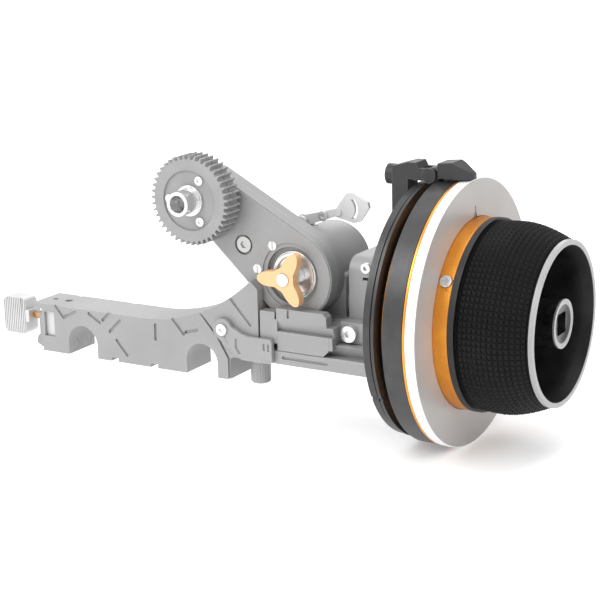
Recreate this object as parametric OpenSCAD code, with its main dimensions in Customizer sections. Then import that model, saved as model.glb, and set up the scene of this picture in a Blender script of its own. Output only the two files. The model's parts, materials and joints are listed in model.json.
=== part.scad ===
// Follow focus unit: rod bridge, sliding gearbox, swing arm with drive gear, handwheel.
// Origin on the axis of the rod saddle nearest the handwheel, half way along its depth.
// +X runs from the bridge to the handwheel, +Y back along the rods, +Z up.

/* [Rods] */
// Diameter of the support rods
rod_d = 15; // [13:0.5:18]
// Distance between the rod centres
rod_spacing = 60; // [50:1:80]
// Radial play between a rod and its saddle
rod_play = 0.05; // [0.02:0.01:0.15]

/* [Bridge] */
// Depth of the bridge along the rods
bridge_depth = 18; // [15:0.5:24]
// Height of the low deck above the rod centres
deck_h = 14.9; // [12.4:0.1:18]
// Drop of the feet below the rod centres
foot_drop = 5.8; // [5.4:0.1:7.5]
// Reach of the deck past the far rod centre
far_reach = 25.5; // [21.2:0.1:31]
// Reach of the bridge past the near rod centre
near_reach = 27.2; // [25:0.2:33]
// Radius of the cradle that rises to the swing arm
cradle_r = 79.5; // [70:0.5:96]

/* [Rail] */
// Length of the rail past the bridge
rail_len = 54; // [50:1:70]
// Width of the rail's foot
rail_foot_w = 18; // [16:0.5:21.6]

/* [Gearbox] */
// Radius of the gearbox barrel
barrel_r = 15.5; // [15:0.1:18.6]
// Depth of the gearbox barrel
barrel_depth = 21.9; // [20.5:0.1:27]
// Height of the arm pivot above the rod centres
pivot_z = 38.8; // [38:0.1:42]
// Height of the handwheel axis above the rod centres
wheel_z = 26.8; // [26:0.1:27.6]

/* [Swing arm] */
// Distance from the arm pivot to the drive gear axis
arm_len = 48.8; // [41:0.1:58.6]
// Direction of the arm at rest, up from +X
arm_angle = 144.1; // [130:0.5:146]
// Thickness of the arm
arm_thick = 11; // [10.6:0.1:13.2]

/* [Drive gear] */
// Number of teeth on the drive gear
drive_teeth = 43; // [36:1:52]
// Module of the drive gear
drive_module = 0.8; // [0.8:0.1:1]
// Face width of the drive gear
drive_w = 9.5; // [7:0.5:12]

/* [Handwheel] */
// Diameter of the marking disc
disc_d = 104; // [90:1:125]
// Thickness of the marking disc
disc_w = 3.9; // [3.2:0.1:5]
// Largest diameter of the rubber grip
grip_d = 73.6; // [66:0.2:80]
// Length of the rubber grip
grip_len = 26.6; // [22:0.1:32]
// Width of the drum behind the marking disc
drum_w = 7.8; // [6.5:0.1:9.4]
// Across flats of the square crank socket
socket_af = 8.2; // [7:0.1:9.6]

/* [Hidden] */
$fn = 64;
fit = 0.05;
gap = 0.3;
slide_gap = 1;

// Bridge
saddle_r = rod_d / 2 + rod_play;
front = -bridge_depth / 2;
back = bridge_depth / 2;
far_x = -rod_spacing;
deck_left = far_x - far_reach;
cradle_x = -rod_spacing / 2;
cradle_z = deck_h + cradle_r;
cradle_tip_x = near_reach - 3.2;
cradle_tip_z = cradle_z - sqrt(pow(cradle_r, 2) - pow(cradle_tip_x - cradle_x, 2));
block_z = 3.8;
groove_w = 1.5;
groove_deep = 0.8;
foot_out = 5.5;
lever_p = [11.7, 15.5];

// Far rod clamp
yoke_t = 1.6;
yoke_x = deck_left + 3.3;
clamp_z = 6.6;
plunger_y = 4.5;
plunger_z = -2.5;
plunger_r = 2.4;
clamp_screw_r = 1.5;
pocket_x = far_x - 20;
pocket_w = 5.3;
pocket_z = 0.9;
pocket_h = 10.7;
knob_len = 12;
knob_x = yoke_x - 24;

// Rail and carriage
car_x = near_reach + slide_gap;
rail_z = 3.6;
rail_foot_h = 5.6;
rail_neck_w = 8;
rail_head_w = 14;
rail_head_z = 14;
rail_end = near_reach + rail_len;
tongue_x = near_reach - 11;
tongue_w = 7;
car_front = -9;
car_back = 13;
car_low_z = 12.2;
car_top_z = 20.9;
jaw_x = car_x + 7.8;
jaw_w = 22.8;
jaw_top_z = 17.2;

// Gearbox
pivot_x = car_x + 12.1;
box_x = car_x + 2.3;
box_end = car_x + 29.8;
arm_back = 6.8;
arm_front = arm_back - arm_thick;
barrel_y = arm_back + gap;
barrel_end = barrel_y + barrel_depth;
cap_t = 3;
spur_teeth = 15;
spur_m = (pivot_z - wheel_z) / spur_teeth;
spur_y = barrel_end - 3.7;
spur_w = 3;
wheel_y = barrel_y + 10.7;
bevel_r = 6;
bevel_w = 2.6;
bevel_m = 2 * bevel_r / spur_teeth;
cavity_r = 8;
shaft_r = 3.2;
cross_r = 2;
bolt_r = 1.95;

// Arm gear train: input, idler a, idler b, output, all of one module
train = [32, 18, 18, 21];
train_m = arm_len / 61;
train_tip = [for (n = train) train_m * (n / 2 + 0.85)];
span_a = train_m * (train[0] + train[1]) / 2;
span_b = train_m * (train[1] + train[2]) / 2;
span_c = train_m * (train[2] + train[3]) / 2;
arm_r = train_tip[0] + 4;
arm_end_r = train_tip[3] + 2.1;
idler_a_s = 24.375 * train_m;
idler_a = [idler_a_s, sqrt(pow(span_a, 2) - pow(idler_a_s, 2))];
idler_b = meet(idler_a, span_b, [arm_len, 0], span_c);
axes = [[0, 0], idler_a, idler_b, [arm_len, 0]];
phase_in = heading(axes[0], axes[1]);
phase_a = mate(phase_in, train[0], train[1], heading(axes[0], axes[1]));
phase_b = mate(phase_a, train[1], train[2], heading(axes[1], axes[2]));
phase_out = mate(phase_b, train[2], train[3], heading(axes[2], axes[3]));
train_w = 3.6;
train_y = 0.9;
cavity_y = train_y - 0.5;
cavity_end = train_y + train_w + 0.5;
arm_split = train_y + 0.4;
recess_r = 11.6;
recess_floor = -1.4;
cover_screw = [23.8, -4.3];
slot_screws = [[13.6, 3.97], [13.6, -8.27]];
out_bearing_r = 5.4;
out_shaft_r = 3;

// Drive gear
drive_back = arm_front - 1.5;
drive_front = drive_back - drive_w;
drive_r = drive_teeth * drive_module / 2;
stub_len = 8.2;

// Spindle housing and wheel stations along X
house_x = car_x + 33;
house_end = car_x + 55.8;
house_y0 = wheel_y - 13.8;
house_y1 = wheel_y + 13.8;
house_z0 = wheel_z - 9.8;
house_z1 = wheel_z + 19.8;
bearing_r = 7;
bearing_w = 4;
spindle_r = 4;
disc_r = disc_d / 2;
carrier_x = house_end + 0.1;
carrier_t = 2.1;
journal_r = disc_r - 12;
ring_a_x = carrier_x + carrier_t + 0.1;
ring_a_w = 2.8;
ring_gap = 0.6;
ring_b_x = ring_a_x + ring_a_w + ring_gap;
ring_b_w = 1.3;
retainer_x = ring_b_x + ring_b_w + 0.1;
core_x = retainer_x + 0.8;
core_w = 3.2;
drum_x = core_x + core_w + 0.1;
flange_x = drum_x + drum_w + 0.3;
flange_t = 1;
disc_x = flange_x + flange_t + 0.1;
face_x = disc_x + disc_w;
hub_r = 37.1;
hub_end = face_x + 5.7;
collar_x = hub_end + 0.1;
collar_w = 2.5;
grip_x = collar_x + collar_w + 0.1;
grip_end = grip_x + grip_len;
grip_r = grip_d / 2;
grip_root_r = grip_r - 0.5;
grip_tip_r = grip_r - 5.2;
grip_t = 1.2;
rim_w = 1.7;
cup_r = grip_tip_r - 4;
mouth_r = grip_tip_r - 1.7;
cup_floor = grip_x + 3;
boss_r = 9.4;
boss_end = grip_end + 1.1;
spindle_end = cup_floor + 4;
nut_r = 7.6;

// Index pointer
index_y = 14.5;
index_w = 9;
index_pin_x = ring_a_x + 6.5;
index_pin_z = wheel_z + disc_r + 1.4;
index_r = 2.9;
index_tip_x = face_x + 1.4;
index_post_x = house_end - 7;

// ---- Geometry helpers ----

// Direction in degrees from point a to point b
function heading(a, b) = atan2(b[1] - a[1], b[0] - a[0]);

// Meeting point of two circles, on the lower side of the line from a to b
function meet(a, ra, b, rb) =
  let (d = norm(b - a), s = (d * d + ra * ra - rb * rb) / (2 * d))
  a + s * (b - a) / d + sqrt(ra * ra - s * s) * [b[1] - a[1], a[0] - b[0]] / d;

// Phase of a gear with zb teeth that meshes with one of za teeth at phase pa
function mate(pa, za, zb, dir) = dir + 180 + ((dir - pa) * za / 360 - 0.5) * 360 / zb;

// Point s along the arm and p above its centre line, in X and Z
function arm_point(s, p) =
  [pivot_x + s * cos(arm_angle) + p * sin(arm_angle), pivot_z + s * sin(arm_angle) - p * cos(arm_angle)];

function train_point(i) = arm_point(axes[i][0], axes[i][1]);

// Outline in X and Z extruded along Y
module slab(y0, y1) {
  translate([0, y1, 0]) rotate([90, 0, 0]) linear_extrude(y1 - y0) children();
}

// Outline in Y and Z extruded along X
module bar_x(x0, x1) {
  translate([x0, 0, 0]) rotate([90, 0, 90]) linear_extrude(x1 - x0) children();
}

module pin_y(p, y0, y1, r) {
  translate([p[0], y1, p[1]]) rotate([90, 0, 0]) cylinder(h = y1 - y0, r = r);
}

module pin_x(y, z, x0, x1, r) {
  translate([x0, y, z]) rotate([0, 90, 0]) cylinder(h = x1 - x0, r = r);
}

module ring_y(p, y0, y1, r, bore) {
  difference() {
    pin_y(p, y0, y1, r);
    pin_y(p, y0 - 1, y1 + 1, bore);
  }
}

// Profile of radius and station turned about the handwheel axis
module turned() {
  translate([0, wheel_y, wheel_z]) rotate([0, 90, 0]) rotate_extrude($fn = 128) children();
}

module wheel_ring(x0, x1, r, bore) {
  turned() translate([bore, x0]) square([r - bore, x1 - x0]);
}

// Two circles joined by straight sides that end just inside them
module capsule(p, rp, q, rq) {
  d = norm(q - p);
  dir = heading(p, q);
  tilt = acos((rp - rq) / d);
  inset = 0.999;
  translate(p) circle(rp);
  translate(q) circle(rq);
  polygon([
    for (c = [[p, rp, 1], [p, rp, -1], [q, rq, -1], [q, rq, 1]])
      c[0] + inset * c[1] * [cos(dir + c[2] * tilt), sin(dir + c[2] * tilt)]
  ]);
}

// Rectangle with round corners
module soft_rect(x0, z0, x1, z1, r) {
  translate([x0 + r, z0]) square([x1 - x0 - 2 * r, z1 - z0]);
  translate([x0, z0 + r]) square([x1 - x0, z1 - z0 - 2 * r]);
  for (x = [x0 + r, x1 - r], z = [z0 + r, z1 - r]) translate([x, z]) circle(r, $fn = 32);
}

// Gear outline with a tooth at the angle called phase
module gear_outline(n, m, phase) {
  root = m * (n / 2 - 1.15);
  tip = m * (n / 2 + 0.85);
  half = 90 / n;
  polygon([
    for (i = [0 : n - 1], c = [[root, -1.05], [tip, -0.38], [tip, 0.38], [root, 1.05]])
      let (a = phase + i * 360 / n + c[1] * half) c[0] * [cos(a), sin(a)]
  ]);
}

module gear_y(p, y0, y1, n, m, phase) {
  slab(y0, y1) translate(p) gear_outline(n, m, phase);
}

// Socket head screw along -Y: head in front of face_y, shank behind it
module cap_screw(p, face_y, head_r, head_h, shank_r, shank_len) {
  difference() {
    union() {
      pin_y(p, face_y - head_h, face_y, head_r);
      pin_y(p, face_y - 0.01, face_y + shank_len, shank_r);
    }
    translate([p[0], face_y - head_h * 0.4, p[1]])
      rotate([90, 0, 0]) cylinder(h = head_h, r = head_r * 0.5, $fn = 6);
  }
}

module slot_screw(p, face_y, r, len) {
  difference() {
    pin_y(p, face_y, face_y + len, r);
    translate([p[0] - 0.3, face_y - 1, p[1] - r]) cube([0.6, 1.6, 2 * r]);
  }
}

// Shallow engraved line on the bridge's front and back faces
module groove(a, b) {
  for (y = [[front - 1, front + groove_deep], [back - groove_deep, back + 1]])
    slab(y[0], y[1]) capsule(a, groove_w / 2, b, groove_w / 2 - 0.01);
}

// ---- Bridge ----

module cradle_outline() {
  difference() {
    translate([cradle_x, deck_h - 0.1]) square([near_reach - cradle_x, cradle_tip_z - deck_h + 0.1]);
    translate([cradle_x, cradle_z - 0.05]) circle(cradle_r, $fn = 256);
    translate([cradle_tip_x, cradle_tip_z]) rotate(-45) square([12, 12]);
  }
}

module lower_outline() {
  polygon([
    [deck_left, deck_h - 2.3], [deck_left, deck_h], [near_reach, deck_h],
    [near_reach, block_z], [saddle_r + foot_out + 1.5, block_z],
    [saddle_r + foot_out, block_z - 1.5],
    [saddle_r + foot_out, -foot_drop], [far_x - saddle_r - 13.8, -foot_drop],
    [deck_left + 4.1, -foot_drop + 3], [deck_left + 4.1, deck_h - 2.3]
  ]);
}

module saddle_outline(x) {
  translate([x, 0]) circle(saddle_r);
  translate([x - saddle_r, -foot_drop - 1]) square([2 * saddle_r, foot_drop + 1]);
}

module bridge_grooves() {
  groove([far_x - 13.6, deck_h - 0.2], [far_x - 9.5, deck_h - 4.9]);
  groove([far_x - 8.4, deck_h - 4.1], [far_x - 3.4, deck_h - 1.7]);
  groove([far_x + 3.9, deck_h - 1.5], [far_x + 9.4, deck_h - 4.7]);
  groove([far_x + 11, deck_h - 3.5], [far_x + 14.8, deck_h]);
  groove([far_x + 14.4, 6.9], [far_x + 19.8, deck_h - 2.8]);
  groove([far_x + 17.8, 3.6], [far_x + 22.8, -2.2]);
  groove([far_x + 37.6, 6.6], [far_x + 37.7, 12.6]);
  groove([-13.5, 16.2], [-8.4, 10.5]);
  groove([-7.3, 11.5], [-1.9, 13]);
  groove([14.4, 28.4], [near_reach - 3.6, 18.2]);
}

module arm_pocket() {
  slab(arm_front - 0.5, back + 1)
    capsule([pivot_x, pivot_z], arm_r + 0.5, arm_point(arm_len, 0), arm_end_r + 0.5);
}

module bridge() {
  color("silver") difference() {
    union() {
      slab(front, back) lower_outline();
      slab(front, back) cradle_outline();
    }
    slab(front - 1, back + 1) saddle_outline(0);
    slab(front - 1, back + 1) saddle_outline(far_x);
    slab(front - 1, back + 1)
      translate([pocket_x, pocket_z]) square([pocket_w, pocket_h]);
    arm_pocket();
    bridge_grooves();
    // Sloping step that thins the cradle above the near foot
    slab(front - 1, front + 1.2) polygon([
      [-0.6, 20.4], [1.2, 19.4], [8.6, 11.5], [13.8, 2.8], [13.8, -foot_drop - 1],
      [12.4, -foot_drop - 1], [12.4, 2.8], [7.6, 11]
    ]);
    // Small feet notches under the middle foot
    for (x = [far_x + 16.4, far_x + 36.4])
      slab(front - 1, back + 1) translate([x - 1.8, -foot_drop - 1]) square([3.6, 2.6]);
    // Clamp screw and plungers
    pin_x(0, clamp_z, deck_left, pocket_x + 1, clamp_screw_r + 0.2);
    for (y = [-plunger_y, plunger_y])
      pin_x(y, plunger_z, deck_left, far_x - saddle_r + 1, plunger_r + 0.1);
    // Two accessory holes in the deck
    translate([far_x - 20.3, 0, deck_h - 5]) cylinder(h = 6, r = 1.2);
    translate([far_x - 13.2, 0, deck_h - 6]) cylinder(h = 7, r = 1.65);
    // Rail tongue and its two screws from the back
    translate([tongue_x - 0.05, -tongue_w / 2 - 0.05, 10.95])
      cube([near_reach - tongue_x + 1, tongue_w + 0.1, 7.1]);
    for (x = [tongue_x + 3, tongue_x + 8]) {
      pin_y([x, 14.5], 0, back + 1, 1.3);
      pin_y([x, 14.5], back - 2.1, back + 1, 2.2);
    }
    // Button bore and lever pivot
    translate([near_reach - 4.8, 0, block_z - 1]) cylinder(h = 7.6, r = 4.2);
    pin_y(lever_p, front - 1, front + 6.05, 1.3);
  }
}

module clamp_block() {
  color("gainsboro") difference() {
    slab(front + 1.5, back - 1.5)
      soft_rect(pocket_x + 0.05, pocket_z + 0.05, pocket_x + pocket_w - 0.05, pocket_z + pocket_h - 0.05, 0.6);
    pin_x(0, clamp_z, pocket_x - 1, pocket_x + pocket_w + 1, clamp_screw_r + fit);
  }
}

module rail_outline() {
  half_foot = rail_foot_w / 2;
  foot_top = rail_z + rail_foot_h;
  polygon([
    [-half_foot + 0.6, rail_z], [half_foot - 0.6, rail_z], [half_foot, rail_z + 0.6],
    [half_foot, foot_top - 0.4], [half_foot - 0.4, foot_top], [rail_neck_w / 2, foot_top],
    [rail_head_w / 2, rail_head_z], [-rail_head_w / 2, rail_head_z],
    [-rail_neck_w / 2, foot_top], [-half_foot + 0.4, foot_top],
    [-half_foot, foot_top - 0.4], [-half_foot, rail_z + 0.6]
  ]);
}

module rail() {
  color("silver") difference() {
    union() {
      bar_x(near_reach + 0.05, rail_end) rail_outline();
      translate([tongue_x, -tongue_w / 2, 11]) cube([near_reach - tongue_x + 0.1, tongue_w, 7]);
    }
    for (x = [tongue_x + 3, tongue_x + 8]) pin_y([x, 14.5], -0.5, tongue_w, 1.25);
    // Groove along the front of the foot, with stop notches
    translate([near_reach + 10.6, -rail_foot_w / 2 - 1, rail_z + 2.4]) cube([20.7, 1.8, 1.3]);
    for (x = [near_reach + 12 : 8 : near_reach + 44])
      translate([x, 0, rail_z - 1]) cylinder(h = 3.4, r = 1.6);
  }
}

// Two rail screws from the back, and the lever's pivot screw
module bridge_screws() {
  color("white") {
    for (x = [tongue_x + 3, tongue_x + 8]) difference() {
      union() {
        pin_y([x, 14.5], back - 2, back - 0.2, 2.1);
        pin_y([x, 14.5], -0.4, back - 1.9, 1.25);
      }
      translate([x, back + 0.5, 14.5]) rotate([90, 0, 0]) cylinder(h = 1.9, r = 1.2, $fn = 6);
    }
    difference() {
      union() {
        pin_y(lever_p, front - 3.1, front - 2.5, 2.4);
        pin_y(lever_p, front - 2.6, front - 0.05, 1.5);
        pin_y(lever_p, front - 0.1, front + 6, 1.25);
      }
      translate([lever_p[0], front - 2.6, lever_p[1]]) rotate([90, 0, 0]) cylinder(h = 2, r = 1, $fn = 6);
    }
  }
}

// ---- Far rod clamp ----

module clamp_yoke() {
  color("silver") {
    difference() {
      bar_x(yoke_x - yoke_t, yoke_x) soft_rect(-7.6, -5, 7.6, 10.8, 1.2);
      pin_x(0, clamp_z, yoke_x - yoke_t - 1, yoke_x + 1, clamp_screw_r + fit);
    }
    for (y = [-plunger_y, plunger_y]) {
      pin_x(y, plunger_z, yoke_x - yoke_t - 2.4, far_x - saddle_r - 0.1, plunger_r);
    }
  }
}

module clamp_screw() {
  color("peru") {
    pin_x(0, clamp_z, knob_x + 8, pocket_x + pocket_w - 0.3, clamp_screw_r);
    difference() {
      pin_x(0, clamp_z, yoke_x - yoke_t - 1.9, yoke_x - yoke_t - 0.1, 3);
      translate([yoke_x - yoke_t - 2, 1.8, clamp_z - 3]) cube([3, 2, 6]);
    }
  }
}

module clamp_knob() {
  rib = 1;
  color("white") difference() {
    slab(-4, 4) {
      soft_rect(knob_x, clamp_z - 8.4, knob_x + knob_len, clamp_z + 7.6, 2.2);
      translate([knob_x + knob_len - 0.1, clamp_z - 2.6]) square([1.8, 5.2]);
    }
    for (i = [0 : 11], y = [-4.6, 3.4])
      translate([knob_x + 0.3 + i * rib, y, clamp_z - 9]) cube([0.45, 1.2, 18]);
    pin_x(0, clamp_z, knob_x + 8, knob_x + 16, clamp_screw_r);
  }
}

// ---- Lock lever and release button ----

module lock_lever() {
  color("silver") difference() {
    slab(front - 2.4, front - 0.3) polygon(concat(
      [for (a = [20 : 12 : 224]) lever_p + 4.4 * [cos(a), sin(a)]],
      [[15.2, 7.4], [20.4, 4], [33.6, 4], [34.6, 5], [34.6, 13.2], [34, 14], [23.6, 14], [20.4, 14.8], [18.2, 16]]
    ));
    pin_y(lever_p, front - 4, front + 1, 1.55);
    // Thumb notches
    slab(front - 3, front - 1.8) {
      polygon([[17.6, 12.4], [18.8, 12.4], [18.8, 9.2], [20.6, 6.6], [19.4, 6.2], [17.6, 8.8]]);
      for (x = [30.6, 32.6]) translate([x, 9]) square([0.9, 3]);
    }
  }
}

module release_button() {
  x = near_reach - 4.8;
  color("gray") {
    translate([x, 0, -7.6]) difference() {
      union() {
        translate([0, 0, 0.6]) cylinder(h = block_z + 7.5, r = 4.1);
        cylinder(h = 0.61, r1 = 3.6, r2 = 4.1);
      }
      for (a = [0 : 20 : 340]) rotate(a) translate([4.3, 0, 1.5]) cylinder(h = 6, r = 0.4, $fn = 4);
    }
    translate([x, 0, 4.2]) cylinder(h = 4, r = 1.9);
  }
}

// Wire wound into a coil about the Z axis, square ended
module coil(r, wire, turns, pitch) {
  rings = turns * 12;
  sides = 6;
  ring = function(i) [for (j = [0 : sides - 1])
    let (a = i * 30, b = j * 360 / sides, q = r + wire * cos(b))
    [q * cos(a), q * sin(a), i * pitch / 12 + wire * sin(b)]];
  points = [for (i = [0 : rings]) each ring(i)];
  skin = [for (i = [0 : rings - 1], j = [0 : sides - 1])
    let (a = i * sides + j, b = i * sides + (j + 1) % sides)
    each [[a, b, a + sides], [b, b + sides, a + sides]]];
  first = [for (j = [1 : sides - 2]) [0, j + 1, j]];
  base = rings * sides;
  last = [for (j = [1 : sides - 2]) [base, base + j, base + j + 1]];
  polyhedron(points, concat(skin, first, last));
}

module button_spring() {
  color("lightgray") translate([near_reach - 4.8, 0, 4.7]) coil(2.9, 0.35, 3, 1.05);
}

// ---- Carriage and gearbox ----

module carriage_outline() {
  g = 0.25;
  foot_top = rail_z + rail_foot_h;
  difference() {
    union() {
      translate([car_front, car_low_z]) square([car_back - car_front, car_top_z - car_low_z]);
      translate([2, foot_top + gap]) square([car_back - 2, car_low_z]);
    }
    polygon([
      [-rail_neck_w / 2 - g, foot_top], [rail_neck_w / 2 + g, foot_top],
      [rail_head_w / 2 + g + 0.1, rail_head_z + g], [-rail_head_w / 2 - g - 0.1, rail_head_z + g]
    ]);
  }
}

module gearbox_cavity() {
  pin_y([pivot_x, wheel_z], barrel_y + 1.6, barrel_end + 1, cavity_r);
  pin_y([pivot_x, pivot_z], barrel_y + 1.6, barrel_end + 1, cavity_r);
  pin_x(wheel_y, wheel_z, pivot_x, house_x + 1, cavity_r - 0.4);
}

module cap_outline() {
  translate([pivot_x, pivot_z]) circle(barrel_r);
  soft_rect(box_x, wheel_z - 10.8, box_end, pivot_z, 2);
}

module gearbox_housing() {
  color("silver") difference() {
    union() {
      bar_x(car_x, house_x - 0.6) carriage_outline();
      slab(barrel_y, barrel_end) cap_outline();
      // Hollow pivot boss for the arm
      pin_y([pivot_x, pivot_z], cavity_end + 0.1, barrel_y + 0.1, 6.5);
      // Foot that carries the spindle housing
      translate([house_x - 0.7, -2, car_low_z]) cube([house_end - house_x - 8, 15, house_z0 - car_low_z]);
      translate([house_x - 0.7, -2, car_low_z]) cube([house_end - house_x - 8, house_y0 + 2, 10.2]);
      // Neck round the spindle, up to its housing
      pin_x(wheel_y, wheel_z, box_end - 0.1, house_x, 9);
      // Apron in front of the arm
      slab(car_front, arm_front - 0.4) polygon([
        [car_x, car_top_z - 0.1], [car_x, 24.8], [car_x + 6.6, 24.8], [car_x + 6.6, car_top_z + 1],
        [car_x + 7.5, car_top_z + 1], [car_x + 7.5, 26.5], [car_x + 28.2, 26.5], [box_end, 25],
        [box_end, car_top_z - 0.1]
      ]);
    }
    gearbox_cavity();
    // Rail channel under the spindle foot
    bar_x(car_x - 1, house_end) polygon([
      [-rail_neck_w / 2 - 0.25, rail_z + rail_foot_h], [rail_neck_w / 2 + 0.25, rail_z + rail_foot_h],
      [rail_head_w / 2 + 0.35, rail_head_z + 0.25], [-rail_head_w / 2 - 0.35, rail_head_z + 0.25]
    ]);
    // Arm clearance and drive shaft bush seat
    slab(arm_front - 0.4, barrel_y - 0.01) difference() {
      translate([pivot_x, pivot_z]) circle(arm_r + 0.4);
      translate([pivot_x, pivot_z]) circle(6.5);
    }
    pin_y([pivot_x, pivot_z], 0, barrel_y + 3, 4.2);
    // Seat of the front jaw and the slope above it
    bar_x(jaw_x - 0.1, jaw_x + jaw_w + 0.1) polygon([
      [car_front - 1, car_low_z - 1], [-5.3, car_low_z - 1], [-6.9, car_low_z + 1.4],
      [-6.9, jaw_top_z + 0.1], [car_front - 1, jaw_top_z + 0.1]
    ]);
    bar_x(jaw_x - 0.1, jaw_x + jaw_w + 2.1) polygon([
      [car_front - 1, 22.2], [car_front, 22.2], [car_front + 2.1, jaw_top_z], [car_front - 1, jaw_top_z]
    ]);
    // Vertical relief between the two front blocks
    translate([car_x + 12.2, car_front - 1, 22.9]) cube([1.2, 1.8, 3.4]);
    for (x = [jaw_x + 3.4, jaw_x + jaw_w - 3.4])
      pin_y([x, 15.3], car_front, -7.1 + 2.8, 0.9);
    pin_y([house_x + 3.6, 18.2], -3, house_y0 + 5.4, 1.6);
    for (p = cap_screw_points()) pin_y(p, barrel_end - 5, barrel_end + 1, 1.05);
    // Lever post seat on top of the barrel
    translate([pivot_x - 9.2, wheel_y - 6.05, pivot_z + barrel_r - 3.05]) cube([8.1, 8.1, 6]);
  }
}

function cap_screw_points() = [
  [pivot_x - 9.6, pivot_z + 8.4], [pivot_x + 9.6, pivot_z + 8.4],
  [box_x + 2.2, wheel_z - 8.4], [box_end - 3, wheel_z - 8.4]
];

module rear_cap() {
  color("silver") difference() {
    union() {
      slab(barrel_end + 0.05, barrel_end + cap_t) cap_outline();
      pin_y([pivot_x, pivot_z], barrel_end + cap_t - 0.01, barrel_end + cap_t + 1.2, 7);
    }
    pin_y([pivot_x, pivot_z], barrel_end, barrel_end + cap_t + 2, bolt_r + fit);
    pin_y([pivot_x, wheel_z], barrel_end, barrel_end + 1.9, 3);
    for (p = cap_screw_points()) {
      pin_y(p, barrel_end - 1, barrel_end + cap_t + 1, 1.2);
      pin_y(p, barrel_end + cap_t - 1.6, barrel_end + cap_t + 2, 2.1);
    }
  }
}

module rear_cap_screws() {
  color("dimgray") for (p = cap_screw_points()) difference() {
    union() {
      pin_y(p, barrel_end + cap_t - 1.55, barrel_end + cap_t - 0.1, 2);
      pin_y(p, barrel_end - 4.8, barrel_end + cap_t - 1.5, 1);
    }
    translate([p[0], barrel_end + cap_t + 0.4, p[1]]) rotate([90, 0, 0]) cylinder(h = 1.5, r = 1.1, $fn = 6);
  }
}

// Clamping jaw that hooks under the front edge of the rail
module front_jaw() {
  foot_top = rail_z + rail_foot_h;
  color("silver") difference() {
    bar_x(jaw_x, jaw_x + jaw_w) polygon([
      [car_front, foot_top + gap], [-rail_neck_w / 2 - 0.35, foot_top + gap],
      [-7.1, car_low_z + 1.4], [-7.1, jaw_top_z], [car_front, jaw_top_z]
    ]);
    slab(car_front - 1, 0) polygon([
      [jaw_x + jaw_w - 2.6, foot_top], [jaw_x + jaw_w + 1, foot_top + 3.6], [jaw_x + jaw_w + 1, foot_top]
    ]);
    for (x = [jaw_x + 3.4, jaw_x + jaw_w - 3.4]) pin_y([x, 15.3], car_front + 0.6, 0, 0.95);
  }
}

// Hidden studs that the jaw is held by, set into it from behind
module jaw_screws() {
  color("gray") for (x = [jaw_x + 3.4, jaw_x + jaw_w - 3.4])
    pin_y([x, 15.3], car_front + 0.65, car_front + 4.5, 0.9);
}

module spindle_housing() {
  color("silver") difference() {
    bar_x(house_x, house_end) soft_rect(house_y0, house_z0, house_y1, house_z1, 6);
    pin_x(wheel_y, wheel_z, house_x - 1, house_end + 1, spindle_r + 0.6);
    pin_x(wheel_y, wheel_z, house_x + 1, house_x + 1 + bearing_w, bearing_r);
    pin_x(wheel_y, wheel_z, house_x - 1, house_x + 1.1, bearing_r - 1);
    pin_x(wheel_y, wheel_z, house_end - 1 - bearing_w, house_end - 1, bearing_r);
    pin_x(wheel_y, wheel_z, house_end - 1.1, house_end + 1, bearing_r - 1);
    // Relief that thins the housing above the bearings
    translate([house_x + 6, house_y0 - 1, house_z1 - 8.4]) cube([house_end - house_x - 14, 4, 1.2]);
    pin_y([house_x + 7.6, house_z1 - 3.4], house_y0 - 1, house_y0 + 9, 1.05);
    pin_y([house_x + 7.6, house_z1 - 3.4], house_y0 - 1, house_y0 + 0.8, 2.1);
    pin_y([house_x + 3.6, 18.2], house_y0 - 1, house_y0 + 5.4, 1.55);
    translate([index_post_x - 0.05, index_y - index_w / 2 - 0.05, house_z1 - 4]) cube([4.1, index_w + 0.1, 6]);
  }
}

module housing_screws() {
  color("white") {
    cap_screw([house_x + 3.6, 18.2], -2.05, 3.3, 2, 1.5, 10);
    cap_screw([house_x + 7.6, house_z1 - 3.4], house_y0 + 0.7, 2, 1.6, 1, 8);
  }
}

module spindle_bearings() {
  color("gainsboro") for (x = [house_x + 1, house_end - 1 - bearing_w])
    wheel_ring(x + 0.05, x + bearing_w - 0.05, bearing_r - 0.02, spindle_r + 0.02);
}

module shaft_bushes() {
  color("darkgoldenrod") {
    ring_y([pivot_x, pivot_z], cavity_end + 0.2, barrel_y + 2.9, 4.15, shaft_r + fit);
    ring_y([pivot_x, wheel_z], barrel_end + 0.1, barrel_end + 1.8, 2.95, cross_r + fit);
    ring_y([pivot_x, wheel_z], barrel_y + 1.7, barrel_y + 3.2, 4, cross_r + fit);
  }
}

// Fixed flange and journal that the two stop rings turn on
module ring_carrier() {
  color("dimgray") turned() {
    translate([spindle_r + 1, carrier_x]) square([journal_r - spindle_r + 3, carrier_t]);
    translate([journal_r - 4, carrier_x]) square([4, retainer_x - carrier_x + 0.5]);
  }
}

module ring_retainer() {
  color("black") wheel_ring(retainer_x, retainer_x + 0.6, journal_r + 1.6, journal_r - 0.4 + 0.5);
}

// ---- Index pointer ----

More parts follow.
